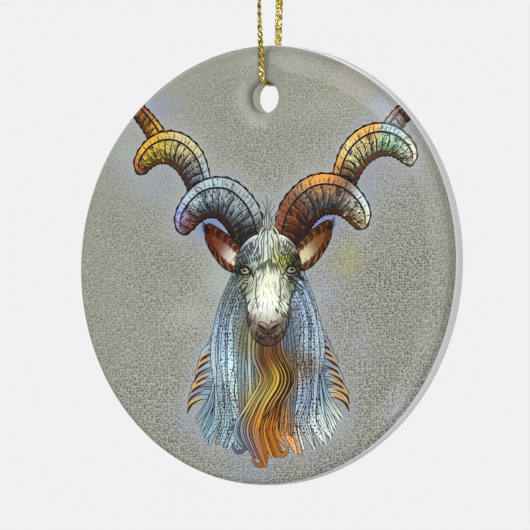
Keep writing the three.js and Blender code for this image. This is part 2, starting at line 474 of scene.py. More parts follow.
NOSE_PAD = [[0.05, -10.2], [0.8, -9.7], [1.6, -9.5], [2, -10], [1.5, -10.9], [0.8, -11.4], [0.05, -11.6]]
BARE_MARGIN = 0.3  # mm of porcelain left unprinted at most, round the disc at this angle in degrees
BARE_ANGLE = 66
BARE_SPREAD = 17
BARE_GLAZE = (200, 201, 200)


def linear(colour):
    """A colour of 0 to 255 as the light that it sends back."""
    c = np.asarray(colour, float) / 255
    return np.where(c <= 0.04045, c / 12.92, ((c + 0.055) / 1.055) ** 2.4)


def wash(spots, strength=1.0):
    """Paint that runs from spot to spot."""
    spots = np.array(spots, float)
    colours = linear(spots[:, 3:])

    def paint(_, placed):
        gap = np.sum((placed[:, None] - spots[:, :2]) ** 2, 2)
        near = np.exp(-gap / (2 * spots[:, 2] ** 2)) + 1e-12
        return strength * (near / near.sum(1, keepdims=True)) @ colours

    return paint


def plain(colour):
    return lambda local, _: np.tile(linear(colour), (len(local), 1))


INK = plain((30, 26, 28))
BROWN_INK = plain((62, 36, 20))


def recoloured(spots, change):
    spots = np.array(spots, float)
    return np.hstack([spots[:, :3], change(spots[:, 3:])])


def paint_ground(placed, figure):
    """The bare ground with its haze, paler and smoother near the figure. Gives colour and stipple."""
    colour = np.tile(linear(GROUND), (len(placed), 1))
    gap = np.array([figure.find((x, z, 0))[2] for x, z in placed])
    glow = GLOW_STRENGTH * np.exp(-gap / GLOW_REACH)
    colour += glow[:, None] * (linear(GLOW) - colour)
    cover = np.zeros(len(placed))
    for x, z, across, up, strength, tint in HAZE:
        near = strength * np.exp(-(((placed[:, 0] - x) / across) ** 2) - ((placed[:, 1] - z) / up) ** 2)
        colour += near[:, None] * (linear(tint) - colour)
        cover += near
    stipple = np.clip(1 - 0.7 * cover - 0.9 * glow, 0.15, 1)
    # It is bolder to the lower right, and faint beside the rim, most of all at the upper right.
    stipple *= np.clip(0.9 + 0.0075 * (placed[:, 0] - 1.5 * placed[:, 1]), 0.45, 1.25)
    smooth = np.clip((placed[:, 0] + placed[:, 1]) / 30, 0.15, 1)
    stipple *= 1 - smooth * np.interp(edge_distance(placed), [0.6, 1.6, 2.4, 4.5, 6], [0.7, 0.5, 0.4, 0.3, 0])
    from_hole = np.hypot(*(placed - HOLE_CENTRE / MM).T) - HOLE_MOUTH / MM
    stipple *= np.interp(from_hole, [-0.3, 0.1, 1.6], [0, 0.5, 1])
    # Painted shade over the shoulder and in the hole's lip, with a painted light halo round the lip.
    colour = colour * painted_shade_and_halo(placed)[:, None]
    bare = bare_margin(placed)
    colour += bare[:, None] * (linear(BARE_GLAZE) - colour)
    return np.column_stack([colour, stipple * (1 - bare)])


def edge_distance(placed):
    """Millimetres of print left between a point and the print's edge on the rim."""
    return PRINT_END / MM - np.hypot(*placed.T)


def painted_shade_and_halo(placed):
    """Painted shade on the print over the shoulder, towards the lower right and in the hole's lip, and a
    painted light halo round the lip.
    """
    from_hole = (np.hypot(*(placed - HOLE_CENTRE / MM).T) * MM - PRINT_HOLE) / HOLE_LIP_RADIUS
    x, z = placed.T
    # Painted shade over the shoulder, strongest at the right and the top.
    shoulder = np.interp(edge_distance(placed), [0, 1.4, 2.4], [0.2, 0.17, 0])
    shoulder = 1 - shoulder * np.interp(x, [-20, 10], [0.1, 1]) * np.interp(z, [-30, 10], [0.2, 1])
    # Painted shade that darkens the whole face towards the lower right.
    shoulder *= 1 - 0.15 * np.clip((x - z) / 50, 0, 1)
    # Painted shade in the hole's lip, then a painted light halo further out; both on the hole's left side
    # only.
    reach, depth = [0, 0.4, 0.75, 1, 1.3, 2.2, 3.2, 4], [-0.36, -0.38, -0.2, 0, 0, 0.13, 0.13, 0]
    ring = np.interp(from_hole, reach, depth)
    left = np.clip(0.35 - x / 3, 0, 1)
    return shoulder * (1 + ring * left)


def bare_margin(placed):
    """Share of bare porcelain beside the rim at the upper right: the print lies a little off centre."""
    angle = np.degrees(np.arctan2(placed[:, 1], placed[:, 0]))
    width = BARE_MARGIN * np.exp(-(((angle - BARE_ANGLE) / BARE_SPREAD) ** 2))
    return np.clip((width - edge_distance(placed)) / 0.08 + 0.5, 0, 1) * (width > 0.05)


def place(points, side):
    """Points of a drawn side where they belong on the disc. Side 0 is for points that are there already."""
    points = np.asarray(points, float)
    return points * [side, 1] + [HEAD_X, 0] if side else points


def to_left(path):
    """Unit vectors to the left of a path."""
    ahead = unit(np.gradient(path, axis=0))
    return np.stack([-ahead[:, 1], ahead[:, 0]], 1)


def ribbon(path, half):
    """Outline of a band along a path, half wide on each side."""
    out = to_left(path) * np.maximum(half, 0.015)[:, None]
    return np.vstack([path + out, (path - out)[::-1]])


def grown(outline, by):
    """A closed outline moved outward, whichever way it runs."""
    outline = np.asarray(outline, float)
    ahead = unit(np.roll(outline, -1, axis=0) - np.roll(outline, 1, axis=0))
    return outline + by * math.copysign(1, turning(outline)) * np.stack([ahead[:, 1], -ahead[:, 0]], 1)


def turning(outline):
    """Positive for an outline that runs anticlockwise."""
    x, z = outline[:, 0], outline[:, 1]
    return float(np.sum(x * np.roll(z, -1) - z * np.roll(x, -1)))


def closed_curve(points, step=0.35):
    """A smooth closed outline through the points."""
    points = np.asarray(points, float)
    curve, _ = smooth_route(np.vstack([points[-2:], points, points[:3]]), step)
    middle = len(curve) // 2
    away = np.sum((curve - points[0]) ** 2, 1)
    return curve[np.argmin(away[:middle]) : middle + np.argmin(away[middle:])]


class Drawing:
    """Shapes laid one over another: an outline, its paint, its side and how much it is stippled."""

    def __init__(self):
        self.shapes = []

    def fill(self, side, outline, paint, stipple=0.0):
        placed = place(outline, side)
        if turning(placed) < 0:
            placed = placed[::-1]
        self.shapes.append((placed, paint, side, stipple))

    def dot(self, side, centre, radius):
        self.fill(side, circle(centre, radius, 7), INK)

    def stroke(self, side, points, width, paint, taper=(0.35, 0.35), step=0.35):
        """A pen stroke, thinning towards its ends over the given shares of its length."""
        path, along = smooth_route(points, step)
        t = along / along[-1]
        thin = np.minimum(np.clip(t / taper[0], 0.12, 1), np.clip((1 - t) / taper[1], 0.12, 1))
        self.fill(side, ribbon(path, width / 2 * np.sqrt(thin)), paint)

    def lock(self, side, points, width, paint, ink, lines=2, stipple=0.0):
        """A lock of hair: dark outline, fill, and hair lines that follow it."""
        path, along = smooth_route(points, 0.5)
        t = along / along[-1]
        half = width / 2 * np.sin(math.pi * (0.12 + 0.86 * t) ** 0.8) ** 0.7
        self.fill(side, ribbon(path, half + 0.13), ink)
        self.fill(side, ribbon(path, half), paint, stipple)
        edge = to_left(path) * half[:, None]
        for line in range(lines):
            across = (line + 1) / (lines + 1) * 2 - 1
            kept = slice(1 + line % 2, len(path) - 2 - line % 3)
            if len(path[kept]) > 3:
                self.stroke(side, (path + edge * across)[kept], 0.13, ink, step=0.6)


RING_TONES = (0.5, 1.2, 0.75, 1.35, 0.42, 1, 1.25)  # the rings of a horn differ in tone


def horn_coil(art, side, turn, ribs, random):
    """One turn of a ringed horn, with its outer band, its shadowed underside and its rings."""
    x, z, widths = np.array(turn).T
    path, along = smooth_route(np.stack([x * HORN_REACH[side], z], 1), 0.35)
    t = along / along[-1]
    half = np.interp(t, np.linspace(0, 1, len(widths)), widths) / 2
    half = half * np.sqrt(np.clip(1 - (np.maximum(t - 0.9, 0) / 0.1) ** 2, 0.02, 1))
    left = to_left(path)
    colour = wash(HORN_WASH)

    def at(share, across):
        """Places at shares of the turn's length, and across it from -1 to 1."""
        share = np.clip(share, 0, 1)
        middle = np.stack([np.interp(share, t, axis) for axis in path.T], 1)
        out = np.stack([np.interp(share, t, axis) for axis in left.T], 1)
        return middle + out * (across * np.interp(share, t, half))[:, None]

    def shaded(tone=1.0):
        """The horn's colour, rounded across it and dark where it comes from behind."""

        def paint(local, placed):
            gap = local[:, None] - path[None]
            nearest = np.argmin(np.sum(gap**2, 2), 1)
            rows = np.arange(len(local))
            across = np.sum(gap[rows, nearest] * left[nearest], 1) / np.maximum(half[nearest], 0.1)
            light = np.interp(across, [-1, -0.7, -0.2, 0.2, 0.5, 1], [0.1, 0.3, 0.85, 1.05, 0.5, 0.8])
            behind = np.interp(t[nearest], [0, 0.12, 0.32, 0.8, 1], [0.22, 0.4, 1, 1, 0.6])
            return colour(local, placed) * (light * behind)[:, None] * tone

        return paint

    span = np.linspace(0.02, 0.98, 40)

    def strip(low, high):
        return np.vstack([at(span, low), at(span, high)[::-1]])

    whole = ribbon(path, half)
    wobble = 0.33 + 0.1 * np.sin(1.7 * np.arange(len(whole)))[:, None]
    art.fill(side, grown(whole, wobble), wash(HORN_WASH, 0.035))
    art.fill(side, whole, shaded(), 0.9)
    art.fill(side, strip(-1, HORN_UNDERSIDE), wash(recoloured(HORN_WASH, lambda c: c * [0.55, 0.34, 0.24])))
    art.fill(side, strip(HORN_BAND, 1), wash(recoloured(HORN_WASH, lambda c: np.minimum(255, c + 18))), 0.35)
    across = np.linspace(-0.95, HORN_BAND, 8)
    bow = 0.05 * (1 - across**2)
    for i in range(ribs):
        ring = at(0.07 + 0.88 * i / ribs + bow, across)[1:]
        art.stroke(side, ring, 0.72 * along[-1] / ribs, shaded(RING_TONES[i % len(RING_TONES)]), (0.2, 0.2))
    for i in range(ribs):
        share = 0.05 + 0.9 * i / ribs
        art.stroke(side, at(share + bow, across), 0.34 - 0.12 * i / ribs, INK, (0.5, 0.3))
        for step, tone in ((0.25, 0.4), (0.5, 0.65), (0.85, 1.35)):
            groove = at(share + bow + step * 0.9 / ribs, across)[1:-1]
            art.stroke(side, groove, 0.17, shaded(tone), (0.5, 0.5))
    for i in range(2 * ribs):
        share = 0.06 + 0.9 * i / (2 * ribs)
        edge = np.linspace(HORN_BAND + 0.05, 0.98 if i % 2 else 0.8, 4)
        notch = at(share + 0.012 * (edge - 0.5), edge)
        art.stroke(side, notch, 0.24 if i % 4 == 1 else 0.15, BROWN_INK, (0.2, 0.6))
        art.stroke(side, at(share + 0.01 * edge, np.linspace(-0.98, -0.72, 4)), 0.14, INK, (0.3, 0.5))
    for _ in range(9 * ribs):
        share, edge = random.uniform(0.12, 0.92), random.uniform(-0.6, HORN_BAND - 0.06)
        art.dot(side, at([share], edge)[0], random.uniform(0.07, 0.17))
    for _ in range(11 * ribs):
        share, edge = random.uniform(0.02, 0.97), random.uniform(-1, 0.94)
        reach = edge + np.array([0, 0.12, 0.26]) * random.uniform(0.6, 1.4)
        scratch = at(share + np.array([0, 0.012, 0.02]), np.minimum(reach, [0.93, 0.95, 0.97]))
        low = edge < -0.35 or share < 0.2
        tone = INK if random.random() < (0.75 if low else 0.4) else wash(HORN_WASH, 1.5)
        art.stroke(side, scratch, random.uniform(0.1, 0.22), tone, (0.4, 0.6))
    art.stroke(side, at(span, HORN_BAND), 0.34, INK, (0.1, 0.1))
    art.stroke(side, at(span, HORN_UNDERSIDE), 0.16, BROWN_INK, (0.1, 0.1))


def draw_horns(art, random):
    """Each horn's turns, the nearer laid over the further."""
    for side in (-1, 1):
        for turn, ribs in HORN_TURNS:
            horn_coil(art, side, turn, ribs, random)


def draw_ears(art):
    """Ears whose hairs run in from the edge, with a tuft at the tip."""
    dark, glow = wash(EAR_WASH, 0.14), wash(EAR_WASH, 1.7)
    outer = closed_curve(EAR)
    base, point = np.array([[5.4, 0.6], [11.4, 5.2]])
    for side in (-1, 1):
        art.fill(side, grown(outer, 0.24), INK)
        art.fill(side, outer, wash(EAR_WASH, 0.62))
        art.fill(side, closed_curve(EAR_INNER), wash(EAR_INNER_WASH))
        for i in range(64):
            root = outer[int(i / 63 * (len(outer) - 1))]
            centre = base + (point - base) * np.clip((root[0] - 4.6) / 8, 0, 1)
            tip = root + (centre - root) * (0.7, 0.45, 0.58)[i % 3] + [0.6, 0.15]
            bend = (root + tip) / 2 + [0.3, 0.25]
            art.stroke(side, [root, bend, tip], 0.22, glow if i % 4 == 3 else dark, (0.1, 0.7))
        for lift in (-0.5, -0.1, 0.3, 0.8):
            root = np.array([11.3, 5.6 + lift / 3])
            tuft = [root, root + [0.9, 0.5 + lift * 0.5], root + [1.7, 1.4 + lift]]
            art.stroke(side, tuft, 0.34, dark, (0.1, 0.8))


def stippled(random, low, high, step):
    """Jittered rows of points over an oblong."""
    across, up = (np.arange(a, b, step) for a, b in zip(low, high))
    grid = np.stack(np.meshgrid(across, up), 2)
    grid[::2, :, 0] += step / 2
    return grid.reshape(-1, 2) + random.uniform(-0.22, 0.22, (grid.size // 2, 2)) * step


def draw_coat(art, random):
    """The neck's shaggy coat: tufts at the sides, then long locks that hang from the cheeks."""
    for side in (-1, 1):
        crescents = []
        for i in range(11):
            share = i / 10
            z = -9.4 - 13 * share
            reach = 8.6 + 7 * share**0.55 + random.uniform(-0.35, 0.35)
            tuft = [[6.2 - reach, 0.2], [-4.2, 1], [-2, 0.9], [-0.5, -0.1], [0, -1.7]]
            tone = (1.25, 0.8)[i % 2]
            art.lock(side, np.array(tuft) + [reach, z], 1.7, wash(COAT_WASH, tone), BROWN_INK, 1)
            crescents.append(np.array([[-2.8, 0.3], [-1.2, -0.3], [-0.2, -1], [0.3, -2.2]]) + [reach, z])
        for i, crescent in enumerate(crescents):
            art.stroke(side, crescent + [-0.1, 0.4], 0.7, wash(TUFT_WASH if i % 3 else COAT_WASH), (0.6, 0.3))
            art.stroke(side, crescent, 0.4, BROWN_INK, (0.6, 0.2))
        for i in range(8):
            share = i / 7
            sway = random.uniform(-0.4, 0.4)
            points = [
                [6.4, -8 - 7 * share],
                [8 + 0.6 * share, -12.5 - 5 * share],
                [9.4 + sway, -17 - 4.5 * share],
                [10.8 + sway - 0.8 * share, -21.5 - 4 * share],
                [14.2 - 2.6 * share + sway, -25.5 - 4.5 * share],
            ]
            art.lock(side, points, 1.7, wash(COAT_WASH, 1.25), INK, 2)
        for i in range(9):
            outer = 1 - i / 8
            sway = random.uniform(-0.6, 0.6, 4)
            points = np.array([
                [4.2 + 1.8 * outer, -7 + 5.4 * outer],
                [4.8 + 3.6 * outer + sway[0] * 0.4, -10 + 2 * outer],
                [4.2 + 5.2 * outer + sway[1], -15.5 + 1 * outer],
                [4.8 + 4.2 * outer + sway[2], -21.5 + 1 * outer],
                [3.4 + 6.2 * outer + sway[3], -27 + 1.5 * outer],
                [5 + 6.6 * outer + 1.4 * sway[3], -31.8 + 2.6 * outer + sway[1]],
            ])
            art.lock(side, points, 2.7, wash(COAT_WASH, (1.4, 0.95, 1.7)[i % 3]), INK, 1 if i % 2 else 2, 1.0)
        for dot in stippled(random, (3.6, -28), (10.6, -4), 0.62):
            edge = np.interp(dot[1], [-28, -20, -9, -4], [10.5, 9, 9.2, 6.4])
            if dot[0] < edge and random.random() < 0.8:
                art.dot(side, dot, random.uniform(0.1, 0.19))


def hook(end, curl, size):
    """The last points of a lock whose tip curls up to one side."""
    turn = np.linspace(0, 1.1, 6) * math.pi
    centre = np.array(end) + [curl * size, 0]
    return centre + size * np.stack([-curl * np.cos(turn), -np.sin(turn)], 1)


def draw_beard(art, random):
    """Straight locks beside the beard, then the beard's waving ones, some with curled tips."""
    art.fill(0, closed_curve(BEARD_GROUND), wash(COAT_WASH, 0.6), 1.0)
    for side in (-1, 1):
        for i in range(7):
            inner = 1 - i / 6
            sway = random.uniform(-0.4, 0.4, 3)
            points = [
                [3.9 - 0.6 * inner, -8 + inner],
                [4.9 - 1.7 * inner + sway[0], -13.5],
                [4.9 - 2 * inner + sway[1], -19],
                [4.7 - 2.4 * inner + sway[2], -24.5],
                [4.2 - 2.4 * inner - sway[0], -28.6 + 1.2 * inner],
            ]
            art.lock(side, points, 1.3, wash(COAT_WASH, (0.5, 1.1, 0.75)[i % 3]), INK, 1 + i % 2, 0.5)
    for i in sorted(range(13), key=lambda i: -abs(i - 6)):  # the outer locks lie under the inner ones
        spread = (i - 6) / 6
        sway = random.uniform(-0.5, 0.5, 3)
        length = 30.3 + 3 * (1 - abs(spread)) + random.uniform(-0.6, 0.6)
        points = [
            [HEAD_X + 2.2 * spread, -11.6],
            [HEAD_X + 2.4 * spread + 0.4 * sway[0], -15],
            [HEAD_X + 2.6 * spread + 1.7 + sway[1] * 0.6, -19],
            [HEAD_X + 2.8 * spread - 0.8 + sway[2] * 0.8, -23.5],
            [HEAD_X + 3.8 * spread - 2.4, -27.5],
            [HEAD_X + 3.8 * spread - 0.4, -length],
        ]
        if i % 3 == 1:
            curl = 1 if i in (4, 10) else -1
            points[-1:] = hook([HEAD_X + 3.9 * spread - 1.2, -length + 1], curl, 1.2).tolist()
        tone = (1.15, 0.5, 0.85, 0.6)[i % 4]
        art.lock(0, points, random.uniform(1.2, 1.9), wash(COAT_WASH, tone), BROWN_INK if i % 2 else INK, 2)
        art.stroke(0, np.array(points[1:5]) + [0.55, 0], 0.42, BROWN_INK, (0.5, 0.5))
        art.stroke(0, points[1:5], 0.3, wash(COAT_WASH, 1.6 * tone), (0.4, 0.4))


def in_outline(points, outline):
    """Whether each point is inside a closed outline."""
    x, z = points[:, 0, None], points[:, 1, None]
    ax, az = outline[:, 0], outline[:, 1]
    bx, bz = np.roll(ax, -1), np.roll(az, -1)
    crosses = (az > z) != (bz > z)
    where = ax + (z - az) / np.where(bz == az, 1, bz - az) * (bx - ax)
    return np.sum(crosses & (x < where), 1) % 2 == 1


def draw_head(art, random):
    """The face, covered with short hairs that lie denser and darker away from the bridge of the nose."""
    half = np.array(HEAD_HALF)
    outline = closed_curve(np.vstack([half, half[-2:0:-1] * [-1, 1]]))
    art.fill(1, grown(outline, 0.24), INK)
    art.fill(1, outline, wash(HEAD_WASH))
    spots = random.uniform((-6.2, -13.2), (6.2, 4.8), (1150, 2))
    spots = spots[in_outline(spots, grown(outline, -0.3))]
    spots = spots[np.argsort(spots[:, 1])]
    for x, z in spots:
        edge = abs(x) / np.interp(z, [-13, -9, -1, 4], [2.4, 3.2, 6.1, 3.6])
        bridge = edge < 0.34 and -9 < z < -1.5
        if bridge and random.random() < 0.55:
            continue
        length = random.uniform(0.8, 1.7) * (0.6 if z < -8.5 else 1)
        lean = 1.1 * x / 5 + 0.3 * math.sin(1.1 * z + 0.8 * x)
        tip = [x + length * lean, z - length]
        bend = [x + length * (0.3 * lean + 0.12 * math.copysign(1, x)), z - length * 0.5]
        dark = random.random() < (0.34 + 0.42 * edge if z > -8.5 else 0.5)
        tone = wash(HEAD_WASH, 0.5 if bridge else 0.1) if dark else wash(HEAD_WASH, 1.15)
        art.stroke(1, [[x, z], bend, tip], 0.2 if dark else 0.22, tone, (0.3, 0.7), 0.3)


def draw_eye(art, side):
    """A goat's eye: a heavy upper lid, a pale iris and a level pupil."""
    rim = closed_curve(EYE_RIM, 0.2)
    art.fill(side, grown(rim, 0.32), INK)
    art.fill(side, rim, wash([(4.2, -1, 0.5, 178, 172, 128), (5.2, -1, 0.5, 150, 150, 120)]))
    art.fill(side, circle((0, 0), 1, 14) * [0.42, 0.2] + [4.6, -0.95], plain((12, 10, 12)))
    art.stroke(side, [[3.2, -1.2], [3.9, -0.4], [4.8, -0.2], [5.8, -0.9]], 0.46, INK)
    art.stroke(side, [[3.3, -0.4], [4.1, 0.3], [5, 0.3], [5.8, -0.3]], 0.15, INK)
    for drop in (0.2, 0.7, 1.2):
        art.stroke(side, [[3.6, -1.7 - drop], [4.5, -1.9 - drop], [5.4, -1.3 - drop]], 0.17, INK)
    art.stroke(side, [[3.4, -1.3], [2.9, -1.8], [2.7, -2.6]], 0.34, INK, (0.2, 0.8))


def draw_features(art, random):
    """Eyes, brows, the sides of the muzzle, the hair between the eyes, nose and mouth."""
    dark = wash(HEAD_WASH, 0.14)
    for side in (-1, 1):
        draw_eye(art, side)
        for row, count in ((0, 9), (1, 8), (2, 6)):
            for i in range(count):
                rise = 0.5 + 1.1 * row - 0.035 * i * i + random.uniform(-0.2, 0.2)
                root = np.array([2.1 + 0.42 * i - 0.1 * row, rise])
                sweep = np.array([0.1 + 0.11 * i, 1.7 - 0.08 * i])
                art.stroke(side, [root, root + sweep / 2 + [0.1, 0], root + sweep], 0.34, dark, (0.1, 0.8))
        art.stroke(side, [[4.7, -4.4], [4.3, -6.2], [4.1, -8.4], [3.8, -10.6]], 0.6, dark, (0.5, 0.5))
        art.stroke(side, [[2.6, 0], [2.3, -2.4], [2.4, -5], [1.9, -8]], 0.26, dark)
        for i in range(13):
            lean = math.radians(4 + 4.6 * i) + random.uniform(-0.06, 0.06)
            out = np.array([math.sin(lean), -math.cos(lean)]) * (random.uniform(2.2, 3.4) - 0.09 * i)
            root = np.array([0.05 + 0.06 * i, 0.9 - 0.05 * i])
            lash = [root, root + out / 2 + [0.22, 0.1], root + out]
            art.stroke(side, lash, 0.28, dark if i % 3 else wash(HEAD_WASH, 0.3), (0.1, 0.8))
        pad = closed_curve(NOSE_PAD)
        art.fill(side, grown(pad, 0.14), INK)
        art.fill(side, pad, wash([(1, -9.7, 0.5, 166, 146, 128), (1, -11.3, 0.6, 74, 54, 46)]))
        art.stroke(side, [[0.5, -10.9], [0.95, -10.5], [1.4, -10.3], [1.85, -9.9]], 0.42, INK, (0.3, 0.2))
        art.stroke(side, [[0.05, -11.9], [1.1, -12.2], [2, -11.8], [2.8, -11]], 0.26, INK, (0.1, 0.5))
    art.stroke(1, [[0, -11.2], [0.03, -11.6], [0, -12]], 0.3, INK)


def draw_forelock(art, random):
    """Wisps that rise between the horns and fall over the brow."""

    def wisp(points, widths, lift, taper):
        """A dark stroke with a pale one laid on it, a little to the right."""
        art.stroke(1, points, widths[0], wash(FORELOCK_WASH, 0.16), taper)
        art.stroke(1, np.array(points) + [0.12, lift], widths[1], wash(FORELOCK_WASH, 1.1), taper)

    for i in sorted(range(9), key=lambda i: -abs(i - 4)):
        spread = (i - 4) / 4
        sway = random.uniform(-0.3, 0.3, 2)
        drop = -0.6 + 2.4 * abs(spread) + random.uniform(-0.7, 0.5)
        points = [
            [0.4 * spread, 6.9 - 0.4 * abs(spread)],
            [1.2 * spread + sway[0], 5.6],
            [2.2 * spread + sway[1], 3.8],
            [2.6 * spread + 0.8 * sway[0], 2],
            [3.6 * spread + sway[1], drop],
        ]
        wisp(points, (0.5, 0.3), 0.1, (0.3, 0.6))
    for lean, top in ((-1.3, 9.4), (-0.8, 10.6), (-0.3, 11.6), (0.4, 10.6), (0.9, 9.8), (1.4, 8.8)):
        points = [[lean * 0.3, 5.6], [lean * 0.8, 7.2], [lean * 0.5, top - 1.4], [lean * 1.5, top]]
        wisp(points, (0.42, 0.24), 0, (0.2, 0.8))


def draw_goat():
    art = Drawing()
    random = np.random.default_rng(7)
    draw_horns(art, random)
    draw_ears(art)
    draw_coat(art, random)
    draw_beard(art, random)
    draw_head(art, random)
    draw_features(art, random)
    draw_forelock(art, random)
    # A painted highlight: a faint pale streak over the print near the rim at the lower right, where a lamp's
    # glint falls on the shoulder.
    art.stroke(0, [[24.4, -25.4], [25.7, -24.1], [26.9, -22.7]], 0.22, plain((184, 186, 176)), (0.5, 0.5))
    return art


# ---- materials


class Network:
    """A new material with short ways to add nodes. An input is a value or another node's output."""

    def __init__(self, name):
        self.material = bpy.data.materials.new(name)
        self.material.use_nodes = True
        self.tree = self.material.node_tree

    def fill(self, node, inputs):
        for name, value in inputs.items():
            if isinstance(value, bpy.types.NodeSocket):
                self.tree.links.new(value, node.inputs[name])
            else:
                node.inputs[name].default_value = value

    def node(self, kind, inputs, **settings):
        node = self.tree.nodes.new("ShaderNode" + kind)
        for name, value in settings.items():
            setattr(node, name, value)
        self.fill(node, inputs)
        return node.outputs

    def surface(self, inputs):
        """Set the shader's own sockets, which finishes the material."""
        self.fill(self.tree.nodes["Principled BSDF"], inputs)
        return self.material

    def position(self):
        return self.node("TexCoord", {})["Object"]

    def bump(self, height, strength, depth):
        return self.node("Bump", {"Height": height, "Strength": strength, "Distance": depth})[0]

    def maths(self, operation, *inputs, clamp=False):
        return self.node("Math", dict(enumerate(inputs)), operation=operation, use_clamp=clamp)[0]

    def vectors(self, operation, *inputs):
        return self.node("VectorMath", dict(enumerate(inputs)), operation=operation)[0]

    def line(self, value, slope, start):
        """slope times the value, plus start."""
        return self.maths("MULTIPLY_ADD", value, slope, start)

    def share(self, value, slope, start):
        """The line, kept between 0 and 1."""
        return self.maths("MULTIPLY_ADD", value, slope, start, clamp=True)

    def times(self, first, second):
        return self.maths("MULTIPLY", first, second)

    def mixed(self, factor, first, second, blend="MIX"):
        return self.node("Mix", {0: factor, 6: first, 7: second}, data_type="RGBA", blend_type=blend)[2]


FOIL_TONES = ((0.5, 0.34, 0.04, 1), (0.8, 0.6, 0.12, 1), (1.0, 0.88, 0.42, 1))


def gold_cord():
    """Metallised plastic film wound on the yarns: flat foil facets that flash or lie dark."""
    net = Network("gold_cord")
    position = net.position()
    facets = net.node("TexVoronoi", {"Vector": position, "Scale": FOIL_FACETS})["Color"]
    chance = net.node("SeparateColor", {0: facets})
    tone = net.node("ValToRGB", {0: chance[0]})[0]
    stops = tone.node.color_ramp.elements
    stops[0].color, stops[1].color = FOIL_TONES[0], FOIL_TONES[2]
    stops.new(0.5).color = FOIL_TONES[1]
    wave = {"Vector": position, "Scale": FOIL_WINDINGS, "Distortion": 2.5, "Detail Scale": 2}
    winding = net.node("TexWave", wave, wave_type="BANDS", bands_direction="DIAGONAL")["Fac"]
    tip = net.vectors("MULTIPLY_ADD", facets, (FACET_TIP,) * 3, (-FACET_TIP / 2,) * 3)
    facing = net.vectors("NORMALIZE", net.vectors("ADD", net.bump(winding, 0.4, 0.06 * MM), tip))
    roughness = net.line(chance[1], 0.16, 0.24)
    return net.surface({"Base Color": tone, "Roughness": roughness, "Normal": facing, "Metallic": 1})


def white_glaze():
    """Milky glaze, a little uneven, with faint specks, and a painted warm shade on the hole's wall."""
    net = Network("white_glaze")
    position = net.position()
    cloud = net.node("TexNoise", {"Vector": position, "Scale": CLOUD_SCALE, "Detail": 5})["Fac"]
    tint = net.mixed(cloud, (0.6, 0.6, 0.61, 1), (0.7, 0.695, 0.68, 1))
    specks = net.node("TexVoronoi", {"Vector": position, "Scale": SPECK_SCALE})["Distance"]
    tint = net.mixed(net.times(net.share(specks, -14, 1.1), 0.5), tint, (0.42, 0.38, 0.32, 1))
    parts = net.node("SeparateXYZ", {0: position})
    # The painted shade inside the hole goes from full at 3 mm from the hole's centre to none at 3.5 mm.
    rise = net.maths("SUBTRACT", parts["Z"], float(HOLE_CENTRE[1] + DISC_Z))
    from_hole = net.maths("SQRT", net.maths("MULTIPLY_ADD", rise, rise, net.times(parts["X"], parts["X"])))
    tint = net.mixed(net.share(from_hole, -2200, 7.6), tint, (0.64, 0.61, 0.52, 1))
    waves = net.node("TexNoise", {"Vector": position, "Scale": WAVE_SCALE})["Fac"]
    roughness, normal = net.line(cloud, 0.12, 0.14), net.bump(waves, 0.25, 0.08 * MM)
    return net.surface({"Base Color": tint, "Roughness": roughness, "Normal": normal})


def printed_glaze():
    """Ink under a clear glaze: the drawn colours, mottled, with dark stipple dots in a pale network."""
    net = Network("printed_glaze")
    drawn = net.node("VertexColor", {}, layer_name="print")
    parts = net.node("SeparateXYZ", {0: net.position()})
    flat = net.node("CombineXYZ", {"X": parts["X"], "Y": parts["Z"]})[0]

    def noise(scale, detail):
        return net.node("TexNoise", {"Vector": flat, "Scale": scale, "Detail": detail})["Fac"]

    grid = {"Vector": flat, "Scale": STIPPLE_SCALE, "Randomness": 0.72}
    cells = net.node("TexVoronoi", grid, voronoi_dimensions="2D")
    chance = net.node("SeparateColor", {0: cells["Color"]})
    size = net.line(chance[0], 0.12, net.line(noise(CLOUD_SCALE, 3), 0.08, 0.13))
    inside = net.maths("SUBTRACT", size, cells["Distance"])
    patch = net.line(net.share(noise(150, 3), 3.4, -1.15), 0.45, 0.5)
    depth = net.times(net.line(chance[1], 0.9, 0.7), patch)
    dot = net.times(net.times(net.share(inside, 6, 0.5), depth), drawn["Alpha"])
    web = net.times(net.share(inside, -1.4, 0), drawn["Alpha"])
    blotch = net.mixed(net.share(noise(210, 4), 3.6, -1.3), (0.975, 0.97, 1.025, 1), (1.03, 1.025, 0.98, 1))
    colour = net.mixed(1, drawn["Color"], blotch, "MULTIPLY")
    colour = net.mixed(net.times(web, 0.5), colour, (0.58, 0.58, 0.52, 1))
    dark = net.mixed(1, colour, (0.14, 0.15, 0.14, 1), "MULTIPLY")
    glaze = {"Roughness": 0.5, "Specular IOR Level": 0, "Coat Weight": 1, "Coat Roughness": 0.06}
    return net.surface({"Base Color": net.mixed(dot, colour, dark), **glaze})


def backdrop():
    """A plain light, so that the background has no shading."""
    net = Network("backdrop")
    net.tree.nodes.clear()
    net.node("OutputMaterial", {"Surface": net.node("Emission", {"Color": BACKDROP_LIGHT})[0]})
    return net.material


# ---- the disc

RIM_SEGMENTS = 224
HOLE_SEGMENTS = 72
ARC_STEPS = 12
SCATTER_STEP = 0.55  # mm
HOLE_CENTRE = np.array([0.0, HOLE_RISE])


